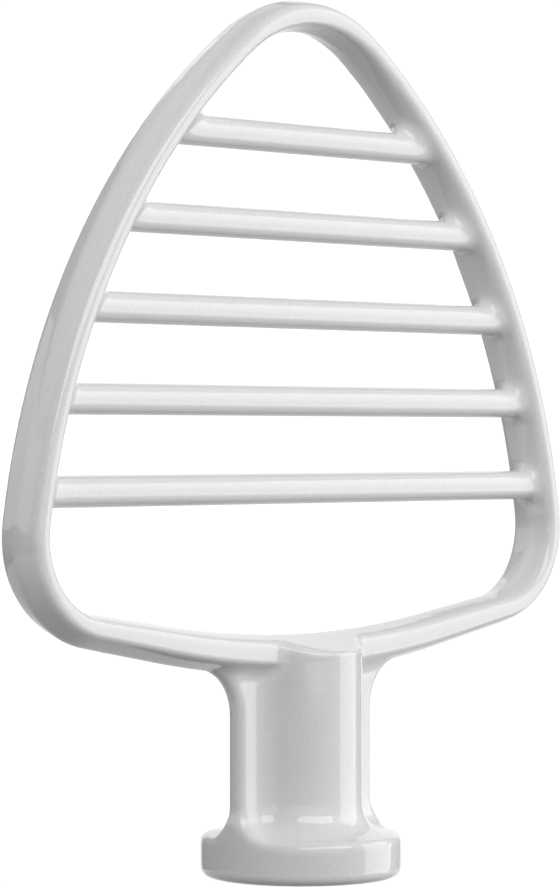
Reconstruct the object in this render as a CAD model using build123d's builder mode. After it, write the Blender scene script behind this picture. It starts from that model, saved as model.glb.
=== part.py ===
# Pastry beater for a stand mixer: one aluminium casting with a gloss coating.
# A rounded triangular frame with five cross bars, on a hub that slides on the mixer's shaft.
# The origin is the centre of the hub's face, +Z runs along the shaft axis to the frame's apex,
# X runs along the bars and the frame's front is -Y. All sizes are in millimetres and degrees.

import os
from math import atan2, cos, hypot, radians, sin, sqrt, tan

from build123d import *

# Frame outline, measured on the mould's parting plane
frame_width = 154.44
frame_top = 173.58
frame_floor = 40.39
apex_radius = 30.45
corner_radius = 20.95
side_radius = 143.8
limb_slope = 10.5
limb_dip_radius = 220.0

# Opening inside the frame
side_wall = 5.33
top_wall = 5.93
floor_wall = 7.5
opening_apex_radius = 28.6
opening_corner_radius = 14.8
opening_side_radius = 139.6
opening_slope = 8.6
opening_dip_radius = 250.0

# Section of the frame
frame_depth = 10.0
draft = 4.6
edge_round = 1.6
ridge_round = 10.0

# Cross bars
bar_count = 5
bar_diameter = 6.1
bar_pitch = 17.32
top_bar_drop = 27.38
bar_fillet = 1.8

# Hub and stem
hub_height = 8.6
hub_base_round = 2.2
hub_rim_round = 1.3
column_diameter = 24.4
rib_reach = 7.2
rib_setback = 0.6
web_thickness = 4.0
web_round = 1.6
web_flare_radius = 9.5
web_flare_turn = 62.0
flare_overlap = 0.6
flare_lead = 1.0
flare_run = 3.2
valley_fillet = 4.6
foot_fillet = 6.0
shoulder_fillet = 3.0

# Shaft bore with its bayonet slot
bore_diameter = 12.9
bore_depth = 38.0
pin_slot_width = 5.6
pin_slot_reach = 9.8
pin_slot_height = 21.0
pin_turn = 70.0

# Spare length of tools and stubs that a later cut trims off
spare = 8.0


def outline_points(half_width, floor, top, corner, apex, side, slope, dip):
    """Tangent points of the right half of a rounded triangle, and the centre of its side arc."""
    rise = radians(slope)
    dip_end = (dip * sin(rise), floor + dip * (1 - cos(rise)))
    corner_x = half_width - corner
    limb_x = corner_x + corner * sin(rise)
    limb_end = (limb_x, dip_end[1] + (limb_x - dip_end[0]) * tan(rise))
    corner_z = limb_end[1] + corner * cos(rise)
    apex_z = top - apex
    # The side arc touches the corner arc and the apex arc from outside
    span = hypot(corner_x, apex_z - corner_z)
    along = ((side - corner) ** 2 - (side - apex) ** 2 + span**2) / (2 * span)
    away = sqrt((side - corner) ** 2 - along**2)
    unit_x = -corner_x / span
    unit_z = (apex_z - corner_z) / span
    side_x = corner_x + along * unit_x - away * unit_z
    side_z = corner_z + along * unit_z + away * unit_x
    to_corner = atan2(corner_z - side_z, corner_x - side_x)
    to_apex = atan2(apex_z - side_z, -side_x)
    corner_end = (side_x + side * cos(to_corner), side_z + side * sin(to_corner))
    side_end = (side_x + side * cos(to_apex), side_z + side * sin(to_apex))
    return dip_end, limb_end, corner_end, side_end, (side_x, side_z)


def rounded_triangle(sizes):
    """Face on the XZ plane: dipped floor, sloping limbs, round corners, bowed sides, round apex."""
    floor, top = sizes[1], sizes[2]
    dip_end, limb_end, corner_end, side_end, _ = outline_points(*sizes)
    with BuildSketch(Plane.XZ) as triangle:
        with BuildLine():
            TangentArc((0, floor), dip_end, tangent=(1, 0))
            limb = Line(dip_end, limb_end)
            corner_arc = TangentArc(limb_end, corner_end, tangent=limb % 1)
            side_arc = TangentArc(corner_end, side_end, tangent=corner_arc % 1)
            TangentArc(side_end, (0, top), tangent=side_arc % 1)
            mirror(about=Plane.YZ)
        make_face()
    return triangle.sketch


def side_reach(sizes, height):
    """Distance from the axis to the side arc of an outline at one height."""
    side = sizes[5]
    side_x, side_z = outline_points(*sizes)[4]
    return side_x + sqrt(side**2 - (height - side_z) ** 2)


frame_sizes = (
    frame_width / 2,
    frame_floor,
    frame_top,
    corner_radius,
    apex_radius,
    side_radius,
    limb_slope,
    limb_dip_radius,
)
opening_sizes = (
    frame_width / 2 - side_wall,
    frame_floor + floor_wall,
    frame_top - top_wall,
    opening_corner_radius,
    opening_apex_radius,
    opening_side_radius,
    opening_slope,
    opening_dip_radius,
)
column_radius = column_diameter / 2
web_width = column_diameter + 2 * rib_reach
hub_radius = web_width / 2 + rib_setback
column_top = frame_floor + floor_wall + spare
bar_heights = [frame_top - top_bar_drop - number * bar_pitch for number in range(bar_count)]
flare_rise = web_flare_radius * sin(radians(web_flare_turn))
flare_spread = web_flare_radius * (1 - cos(radians(web_flare_turn)))
flare_start = frame_floor - flare_rise + flare_overlap
flare_end = (web_width / 2 + flare_spread, flare_start + flare_rise)
flare_foot = flare_start - flare_lead


def on_parting_plane(edge):
    return abs((edge @ 0.25).Y) < 1e-4 and abs((edge @ 0.75).Y) < 1e-4


def at_hub_edge(edge):
    middle = edge @ 0.5
    return abs(hypot(middle.X, middle.Y) - hub_radius) < 1e-3 and abs((edge % 0.5).Z) < 0.99


# Plate with the frame's outer form: drafted both ways from the parting plane
with BuildPart() as plate:
    extrude(rounded_triangle(frame_sizes), amount=frame_depth / 2, both=True, taper=draft)
    fillet(plate.faces().filter_by(Axis.Y).edges(), edge_round)
    fillet(plate.edges().filter_by(on_parting_plane), ridge_round)

# Stem: a round column with a rib on each side, standing on the hub's collar
with BuildPart() as stem:
    with BuildSketch() as stem_plan:
        Circle(column_radius)
        RectangleRounded(web_width, web_thickness, web_round)
        valleys = stem_plan.vertices().filter_by(
            lambda corner: abs(hypot(corner.X, corner.Y) - column_radius) < 1e-3
        )
        fillet(valleys, valley_fillet)
    extrude(amount=column_top)
    with BuildSketch():
        Circle(hub_radius + spare)
    extrude(amount=hub_height)
    foot = stem.edges().filter_by(Plane.XY).filter_by(
        lambda edge: abs((edge @ 0.5).Z - hub_height) < 1e-3
    )
    foot = foot.filter_by(lambda edge: hypot((edge @ 0.5).X, (edge @ 0.5).Y) < hub_radius + spare / 2)
    fillet(foot, foot_fillet)
    # Turn the collar down to its diameter, through the feet of the ribs
    with BuildSketch():
        Circle(hub_radius + 2 * spare)
        Circle(hub_radius, mode=Mode.SUBTRACT)
    extrude(amount=hub_height + spare, mode=Mode.SUBTRACT)
    rim = stem.edges().filter_by(at_hub_edge).filter_by(lambda edge: (edge @ 0.5).Z > hub_height / 2)
    fillet(rim, hub_rim_round)
    base = stem.edges().filter_by(at_hub_edge).filter_by(lambda edge: (edge @ 0.5).Z < hub_height / 2)
    fillet(base, hub_base_round)

# Flares that spread the ribs into the limbs above
with BuildPart() as flares:
    with BuildSketch(Plane.XZ):
        with BuildLine():
            rib_edge = Line((web_width / 2, flare_foot), (web_width / 2, flare_start))
            flare_arc = TangentArc(rib_edge @ 1, flare_end, tangent=(0, 1))
            run_out = PolarLine(flare_arc @ 1, flare_run, direction=flare_arc % 1)
            Line(run_out @ 1, (0, (run_out @ 1).Y))
            Line((0, flare_foot), rib_edge @ 0)
            mirror(about=Plane.YZ)
        make_face()
    extrude(amount=web_thickness / 2, both=True)
    brows = flares.edges().filter_by(
        lambda edge: abs((edge @ 0.5).X) > web_width / 2 - 1e-3
        and abs(abs((edge @ 0.5).Y) - web_thickness / 2) < 1e-3
    )
    fillet(brows, web_round)

# The whole casting
with BuildPart() as pastry_beater:
    add(plate.part)
    add(stem.part)
    add(flares.part)
    seam = new_edges(plate.part, stem.part, flares.part, combined=pastry_beater.part)
    seam = seam.filter_by(lambda edge: flare_start < (edge @ 0.5).Z < column_top - spare / 8)
    fillet(seam, shoulder_fillet)

    # Opening, which also trims the column flush with the limbs' inner face
    blank = pastry_beater.part
    extrude(
        rounded_triangle(opening_sizes),
        amount=column_radius + spare,
        both=True,
        taper=-draft,
        mode=Mode.SUBTRACT,
    )
    cut_edges = new_edges(blank, combined=pastry_beater.part)
    fillet(cut_edges.filter_by(lambda edge: abs((edge @ 0.5).Y) > frame_depth * 0.4), edge_round)
    inner_ridge = pastry_beater.edges().filter_by(on_parting_plane)
    fillet(inner_ridge.filter_by(lambda edge: (edge @ 0.5).Z > frame_floor), ridge_round)

    # Cross bars, each rooted halfway into the side walls
    for height in bar_heights:
        root = (side_reach(opening_sizes, height) + side_reach(frame_sizes, height)) / 2
        with BuildSketch(Plane.YZ):
            with Locations((0, height)):
                Circle(bar_diameter / 2)
        extrude(amount=root, both=True)
        roots = pastry_beater.edges().filter_by(
            lambda edge: abs(hypot((edge @ 0.3).Y, (edge @ 0.3).Z - height) - bar_diameter / 2) < 2e-3
            and abs((edge % 0.5).X) < 0.9
        )
        fillet(roots, bar_fillet)

    # Shaft bore, and the bayonet slot that the shaft's pin rises and turns in
    with BuildSketch():
        Circle(bore_diameter / 2)
    extrude(amount=bore_depth, mode=Mode.SUBTRACT)
    with BuildSketch():
        with Locations((0, -pin_slot_reach / 2)):
            Rectangle(pin_slot_width, pin_slot_reach)
    extrude(amount=pin_slot_height, mode=Mode.SUBTRACT)
    with BuildSketch(Plane.YZ):
        with Locations((-pin_slot_reach / 2, pin_slot_height - pin_slot_width / 2)):
            Rectangle(pin_slot_reach, pin_slot_width)
    revolve(axis=Axis.Z, revolution_arc=pin_turn, mode=Mode.SUBTRACT)

pastry_beater.part.label = "pastry_beater"
os.makedirs("parts", exist_ok=True)
export_step(pastry_beater.part, "parts/pastry_beater.step")
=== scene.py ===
from math import atan2, cos, hypot, pi, radians, sin, sqrt, tan

import bmesh
import bpy
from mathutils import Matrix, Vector
from mathutils.kdtree import KDTree


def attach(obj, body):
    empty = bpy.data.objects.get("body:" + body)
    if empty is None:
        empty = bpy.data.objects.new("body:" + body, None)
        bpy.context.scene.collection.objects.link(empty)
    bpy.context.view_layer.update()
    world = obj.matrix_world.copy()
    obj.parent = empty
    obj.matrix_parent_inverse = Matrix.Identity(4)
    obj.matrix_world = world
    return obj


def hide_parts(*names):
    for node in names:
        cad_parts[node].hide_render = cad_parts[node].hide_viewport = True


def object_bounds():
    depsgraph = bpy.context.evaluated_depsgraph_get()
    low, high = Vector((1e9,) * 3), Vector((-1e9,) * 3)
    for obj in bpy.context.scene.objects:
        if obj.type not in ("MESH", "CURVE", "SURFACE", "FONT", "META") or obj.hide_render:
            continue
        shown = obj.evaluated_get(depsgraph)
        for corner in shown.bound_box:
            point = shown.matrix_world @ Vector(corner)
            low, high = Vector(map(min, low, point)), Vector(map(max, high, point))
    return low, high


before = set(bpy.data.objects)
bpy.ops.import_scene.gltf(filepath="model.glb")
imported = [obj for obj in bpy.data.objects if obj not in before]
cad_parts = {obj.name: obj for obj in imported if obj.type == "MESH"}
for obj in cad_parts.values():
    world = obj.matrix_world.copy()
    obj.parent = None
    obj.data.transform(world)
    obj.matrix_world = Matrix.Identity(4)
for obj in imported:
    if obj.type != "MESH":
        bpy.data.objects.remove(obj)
cad_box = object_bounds()

# The photograph's frame and the camera that took it, in pixels, degrees and metres
image_width = 560
image_height = 888
focal_pixels = 3611.74
axis_column = 300.94
horizon_row = 438.57
camera_turn = 47.0
camera_distance = 0.7174
camera_height = 0.08682
camera_sight = 50.0

# Film of a full-frame camera, in millimetres
film_width = 36.0

# Outlines of the frame and of its opening on the parting plane, in millimetres and degrees,
# each the right half of a rounded triangle that stands on a dipped floor
frame_outline = {
    "half_width": 77.22,
    "floor": 40.39,
    "top": 173.58,
    "corner": 20.95,
    "apex": 30.45,
    "side": 143.8,
    "slope": 10.5,
    "dip": 220.0,
}
opening_outline = {
    "half_width": 71.89,
    "floor": 47.89,
    "top": 167.65,
    "corner": 14.8,
    "apex": 28.6,
    "side": 139.6,
    "slope": 8.6,
    "dip": 250.0,
}

# Steps along each kind of stretch of an outline
arc_steps = 120
limb_steps = 90
side_steps = 300

# Section of the limbs, in millimetres: how much a face leans in for each millimetre from the parting
# line, where that lean turns and ends, and how much more the bottom limb's underside leans
lean = 0.19
lean_pivot = 1.4
lean_limit = 10.0
bottom_lean = 0.2

# How far the section grows in depth, how wide the ridge's crest is and how soon the lean fades
extra_depth = 0.085
section_depth = 5.0
crest_width = 0.35
thinnest_wall = 1.0
fade_outside = 6.0
fade_inside = 3.0

# Column's head, in millimetres: how far it slopes down to the front and back, where the slope starts
# and how deep it reaches
head_top = 47.0
head_drop = 0.6
head_start = 3.5
head_run = 8.0
head_depth = 16.0
head_width = 14.0

# Skin of the coated casting, in metres
millimetres = 1000
merge_distance = 1e-6
voxel = 0.00065
smoothing_rounds = 4
smoothing_factor = 0.4

# Coating: two close whites in a fine grain, its gloss and the height of its ripple
coating_white = (0.82, 0.82, 0.82, 1)
coating_shade = (0.76, 0.76, 0.76, 1)
coating_ior = 1.6
coating_roughness = 0.05
gloss_spread = 0.015
ripple_height = 0.000004

# Patterns of the grain, the gloss and the ripple, and the range that noise mostly keeps to
grain_scale = 2600.0
grain_detail = 1.0
gloss_scale = 220.0
gloss_detail = 2.0
ripple_scale = 260.0
ripple_detail = 1.0
noise_low = 0.3
noise_high = 0.7

# Studio, in metres: the floor, the plinth and the wall, what they give back and the light all round
floor_reach = 1.6
floor_drop = 0.35
floor_bounce = 0.12
plinth_radius = 0.024
plinth_sides = 96
wall_reach = 1.4
wall_bounce = 0.25
studio_roughness = 0.9
studio_glow = 0.95
surround_light = 0.31
beater_middle = Vector((0, 0, 0.09))


def link(obj):
    bpy.context.scene.collection.objects.link(obj)
    return obj


def view_axes():
    """Unit vectors into the picture and to its right, both level."""
    turn = radians(camera_turn)
    into = Vector((sin(turn), cos(turn), 0))
    right = Vector((cos(turn), -sin(turn), 0))
    return into, right


def make_camera():
    """Level camera at the photograph's angle, with the shaft axis and horizon where they are there."""
    into, right = view_axes()
    aside = (axis_column - image_width / 2) * camera_distance / focal_pixels
    data = bpy.data.cameras.new("photo_camera")
    data.sensor_width = film_width
    data.lens = focal_pixels / image_height * film_width
    data.shift_y = (horizon_row - image_height / 2) / image_height
    data.clip_end = camera_sight
    camera = link(bpy.data.objects.new("photo_camera", data))
    camera.location = Vector((0, 0, camera_height)) - camera_distance * into - aside * right
    camera.rotation_euler = into.to_track_quat("-Z", "Y").to_euler()
    bpy.context.scene.camera = camera


def noise(tree, place, scale, detail):
    """Noise in the casting's own coordinates."""
    texture = tree.nodes.new("ShaderNodeTexNoise")
    texture.inputs["Scale"].default_value = scale
    texture.inputs["Detail"].default_value = detail
    tree.links.new(place.outputs["Object"], texture.inputs["Vector"])
    return texture.outputs["Fac"]


def spread(tree, pattern, low, high):
    """The noise's usual range stretched between two values."""
    stretch = tree.nodes.new("ShaderNodeMapRange")
    stretch.inputs["From Min"].default_value = noise_low
    stretch.inputs["From Max"].default_value = noise_high
    stretch.inputs["To Min"].default_value = low
    stretch.inputs["To Max"].default_value = high
    tree.links.new(pattern, stretch.inputs["Value"])
    return stretch.outputs["Result"]


def coating_material():
    """Gloss white coating: a fine grain, slightly uneven gloss and the faint ripple of a sprayed skin."""
    material = bpy.data.materials.new("gloss_white_coating")
    material.use_nodes = True
    tree = material.node_tree
    shader = tree.nodes["Principled BSDF"]
    shader.inputs["IOR"].default_value = coating_ior
    place = tree.nodes.new("ShaderNodeTexCoord")
    tint = tree.nodes.new("ShaderNodeMix")
    tint.data_type = "RGBA"
    tint.inputs["A"].default_value = coating_shade
    tint.inputs["B"].default_value = coating_white
    grain = noise(tree, place, grain_scale, grain_detail)
    tree.links.new(spread(tree, grain, 0.0, 1.0), tint.inputs["Factor"])
    tree.links.new(tint.outputs["Result"], shader.inputs["Base Color"])
    gloss = noise(tree, place, gloss_scale, gloss_detail)
    smoothest = coating_roughness - gloss_spread
    roughest = coating_roughness + gloss_spread
    tree.links.new(spread(tree, gloss, smoothest, roughest), shader.inputs["Roughness"])
    ripple = tree.nodes.new("ShaderNodeBump")
    ripple.inputs["Strength"].default_value = 1.0
    ripple.inputs["Distance"].default_value = ripple_height
    tree.links.new(noise(tree, place, ripple_scale, ripple_detail), ripple.inputs["Height"])
    tree.links.new(ripple.outputs["Normal"], shader.inputs["Normal"])
    return material


def arc_points(centre, radius, start, end, count):
    """Points on an arc with their outward normals, from one angle to another."""
    points = []
    for number in range(count):
        angle = start + (end - start) * number / (count - 1)
        normal = (cos(angle), sin(angle))
        points.append((centre[0] + radius * normal[0], centre[1] + radius * normal[1], normal))
    return points


def limb_points(start, end, slope):
    """Points between the ends of a straight limb, with its outward normal."""
    points = []
    for number in range(1, limb_steps):
        share = number / limb_steps
        x = start[0] + (end[0] - start[0]) * share
        z = start[1] + (end[1] - start[1]) * share
        points.append((x, z, (cos(slope), sin(slope))))
    return points


def outline_points(half_width, floor, top, corner, apex, side, slope, dip):
    """Points and outward normals along the right half of a rounded triangle, in millimetres."""
    rise = radians(slope)
    dip_end = (dip * sin(rise), floor + dip * (1 - cos(rise)))
    corner_x = half_width - corner
    limb_x = corner_x + corner * sin(rise)
    limb_z = dip_end[1] + (limb_x - dip_end[0]) * tan(rise)
    corner_z = limb_z + corner * cos(rise)
    apex_z = top - apex
    # The side arc touches the corner arc and the apex arc from outside
    span = hypot(corner_x, apex_z - corner_z)
    along = ((side - corner) ** 2 - (side - apex) ** 2 + span**2) / (2 * span)
    away = sqrt((side - corner) ** 2 - along**2)
    side_x = corner_x - along * corner_x / span - away * (apex_z - corner_z) / span
    side_z = corner_z + along * (apex_z - corner_z) / span - away * corner_x / span
    to_corner = atan2(corner_z - side_z, corner_x - side_x)
    to_apex = atan2(apex_z - side_z, -side_x)
    limb_turn = rise - pi / 2
    points = arc_points((0, floor + dip), dip, -pi / 2, limb_turn, arc_steps)
    points += limb_points(dip_end, (limb_x, limb_z), limb_turn)
    points += arc_points((corner_x, corner_z), corner, limb_turn, to_corner, arc_steps)
    points += arc_points((side_x, side_z), side, to_corner, to_apex, side_steps)
    points += arc_points((0, apex_z), apex, to_apex, pi / 2, arc_steps)
    return points


class Outline:
    """Distance from a rounded triangle, counted outward, and the way out of it."""

    def __init__(self, sizes):
        self.points = outline_points(**sizes)
        self.tree = KDTree(len(self.points))
        for number, point in enumerate(self.points):
            self.tree.insert((point[0], 0, point[1]), number)
        self.tree.balance()

    def distance(self, x, z):
        number = self.tree.find((abs(x), 0, z))[1]
        near_x, near_z, normal = self.points[number]
        outside = (abs(x) - near_x) * normal[0] + (z - near_z) * normal[1]
        side = 1 if x >= 0 else -1
        return outside, Vector((side * normal[0], 0, normal[1]))


def eased(share):
    """A share from 0 to 1 that starts and ends gently."""
    return share * share * (3 - 2 * share)


def limb_hold(out_frame, out_opening):
    """1 within a limb, fading to 0 outside the frame and inside the opening."""
    hold = 1 - max(0, out_frame) / fade_outside
    hold = min(hold, 1 - max(0, -out_opening) / fade_inside)
    return eased(hold)


def inside_box(place):
    """The nearest place within the solid's own box."""
    for axis in range(3):
        place[axis] = max(cad_box[0][axis], min(cad_box[1][axis], place[axis]))
    return place


def lean_in(mesh):
    """Leans the limbs' faces in from the parting line to the front and back, and deepens the section."""
    frame_line = Outline(frame_outline)
    opening_line = Outline(opening_outline)
    for vertex in mesh.vertices:
        x, y, z = vertex.co * millimetres
        out_frame, frame_normal = frame_line.distance(x, z)
        out_opening, opening_normal = opening_line.distance(x, z)
        if out_frame > fade_outside or out_opening < -fade_inside:
            continue
        # From -1 at the opening to 1 at the frame's outer face
        across = (out_opening + out_frame) / max(out_opening - out_frame, thinnest_wall)
        across = max(-1, min(1, across))
        hold = limb_hold(out_frame, out_opening)
        from_line = min(sqrt(y * y + crest_width**2) - crest_width, lean_limit)
        normal = frame_normal if across > 0 else opening_normal
        moved = -across * lean * (from_line - lean_pivot) * hold * normal
        if across > 0:
            underside = max(0, -frame_normal.z) ** 2
            moved -= across * bottom_lean * underside * from_line * hold * normal
        growth = extra_depth * hold * max(0, 1 - max(0, abs(y) - section_depth) / section_depth)
        place = (vertex.co * millimetres + moved + Vector((0, growth * y, 0))) / millimetres
        vertex.co = inside_box(place)


def slope_head(mesh):
    """Slopes the column's head down to the front and back of the limbs."""
    for vertex in mesh.vertices:
        x, y, z = vertex.co * millimetres
        if abs(y) < head_start or abs(x) > head_width:
            continue
        out = min(1, (abs(y) - head_start) / head_run)
        up = max(0, min(1, (z - head_top) / head_depth + 1))
        vertex.co.z -= head_drop * eased(out) * up * up / millimetres


def finished_mesh(piece):
    """Applies a piece's modifiers and gives its new mesh."""
    depsgraph = bpy.context.evaluated_depsgraph_get()
    mesh = bpy.data.meshes.new_from_object(piece.evaluated_get(depsgraph))
    piece.modifiers.clear()
    piece.data = mesh
    return mesh


def merged_copy(node):
    """Copy of a solid's mesh with its loose triangles joined."""
    mesh = node.data.copy()
    mesh.name = "coated_beater"
    shell = bmesh.new()
    shell.from_mesh(mesh)
    bmesh.ops.remove_doubles(shell, verts=shell.verts, dist=merge_distance)
    shell.to_mesh(mesh)
    shell.free()
    mesh.materials.clear()
    return mesh


def coated_casting():
    """The casting with the soft skin of its coating: evenly meshed, leaned in and relaxed."""
    mesh = merged_copy(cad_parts["pastry_beater"])
    beater = link(bpy.data.objects.new("coated_beater", mesh))
    remesh = beater.modifiers.new("even_skin", "REMESH")
    remesh.mode = "VOXEL"
    remesh.voxel_size = voxel
    remesh.use_smooth_shade = True
    skin = finished_mesh(beater)
    lean_in(skin)
    slope_head(skin)
    relax = beater.modifiers.new("relax", "SMOOTH")
    relax.factor = smoothing_factor
    relax.iterations = smoothing_rounds
    skin = finished_mesh(beater)
    skin.name = "coated_beater"
    skin.materials.append(coating_material())
    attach(beater, "root")
    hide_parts("pastry_beater")


def pale_material(name, bounce):
    """White to the camera and in reflections, with a plain grey that keeps the shadow under it."""
    material = bpy.data.materials.new(name)
    material.use_nodes = True
    tree = material.node_tree
    plain = tree.nodes["Principled BSDF"]
    plain.inputs["Base Color"].default_value = (bounce, bounce, bounce, 1)
    plain.inputs["Roughness"].default_value = studio_roughness
    glow = tree.nodes.new("ShaderNodeEmission")
    path = tree.nodes.new("ShaderNodeLightPath")
    seen = path.outputs["Is Camera Ray"]
    for ray in ("Is Glossy Ray", "Is Transmission Ray"):
        either = tree.nodes.new("ShaderNodeMath")
        either.operation = "MAXIMUM"
        tree.links.new(seen, either.inputs[0])
        tree.links.new(path.outputs[ray], either.inputs[1])
        seen = either.outputs["Value"]
    strength = tree.nodes.new("ShaderNodeMath")
    strength.operation = "MULTIPLY"
    strength.inputs[1].default_value = studio_glow
    tree.links.new(seen, strength.inputs[0])
    tree.links.new(strength.outputs["Value"], glow.inputs["Strength"])
    both = tree.nodes.new("ShaderNodeAddShader")
    tree.links.new(plain.outputs["BSDF"], both.inputs[0])
    tree.links.new(glow.outputs["Emission"], both.inputs[1])
    tree.links.new(both.outputs["Shader"], tree.nodes["Material Output"].inputs["Surface"])
    return material


def make_floor(white):
    """White floor, some way below the beater."""
    near = -floor_reach
    far = floor_reach
    corners = [(near, near), (far, near), (far, far), (near, far)]
    mesh = bpy.data.meshes.new("floor")
    mesh.from_pydata([(x, y, -floor_drop) for x, y in corners], [], [(0, 1, 2, 3)])
    mesh.materials.append(white)
    link(bpy.data.objects.new("floor", mesh))


def make_plinth(white):
    """Slim white plinth that stands on the floor and carries the beater."""
    shell = bmesh.new()
    bmesh.ops.create_cone(
        shell,
        cap_ends=True,
        segments=plinth_sides,
        radius1=plinth_radius,
        radius2=plinth_radius,
        depth=floor_drop,
    )
    bmesh.ops.translate(shell, verts=shell.verts, vec=(0, 0, -floor_drop / 2))
    mesh = bpy.data.meshes.new("plinth")
    shell.to_mesh(mesh)
    shell.free()
    mesh.materials.append(white)
    link(bpy.data.objects.new("plinth", mesh))


def make_wall(white):
    """White wall behind the beater, square to the camera."""
    into, right = view_axes()
    half = wall_reach / 2 * right
    foot = floor_reach * into - Vector((0, 0, floor_drop))
    head = foot + Vector((0, 0, wall_reach))
    mesh = bpy.data.meshes.new("wall")
    mesh.from_pydata([foot - half, foot + half, head + half, head - half], [], [(0, 1, 2, 3)])
    mesh.materials.append(white)
    link(bpy.data.objects.new("wall", mesh))


def make_studio():
    white_floor = pale_material("white_floor", floor_bounce)
    make_floor(white_floor)
    make_plinth(white_floor)
    make_wall(pale_material("white_wall", wall_bounce))


def make_world():
    world = bpy.data.worlds.new("studio")
    world.use_nodes = True
    bpy.context.scene.world = world
    surround = world.node_tree.nodes["Background"]
    surround.inputs["Color"].default_value = (1, 1, 1, 1)
    surround.inputs["Strength"].default_value = surround_light


def softbox(name, across, above, distance, width, height, glow):
    """Lamp that faces the beater from so many degrees right of the camera and above the level."""
    into, right = view_axes()
    turn = radians(across)
    lift = radians(above)
    level = right * sin(turn) - into * cos(turn)
    outward = level * cos(lift) + Vector((0, 0, sin(lift)))
    data = bpy.data.lights.new(name, "AREA")
    data.shape = "RECTANGLE"
    data.size = width
    data.size_y = height
    # Power at which the lamp's face is as bright as a surface of this glow
    data.energy = 4 * width * height * glow
    lamp = link(bpy.data.objects.new(name, data))
    lamp.location = beater_middle + distance * outward
    lamp.rotation_euler = (-outward).to_track_quat("-Z", "Y").to_euler()
    lamp.visible_camera = False


def make_lamps():
    softbox("key_light", across=101, above=0, distance=0.9, width=0.76, height=1.3, glow=1.45)
    softbox("front_top_light", across=30, above=34, distance=1.2, width=1.4, height=0.6, glow=2.2)
    softbox("front_light", across=10, above=4, distance=1.2, width=1.8, height=0.45, glow=0.55)
    softbox("left_high_light", across=-115, above=50, distance=1.2, width=2.4, height=0.7, glow=0.36)
    softbox("left_light", across=-95, above=14, distance=1.2, width=1.6, height=0.5, glow=0.6)


bpy.context.scene.view_settings.view_transform = "Standard"
make_camera()
coated_casting()
make_studio()
make_world()
make_lamps()
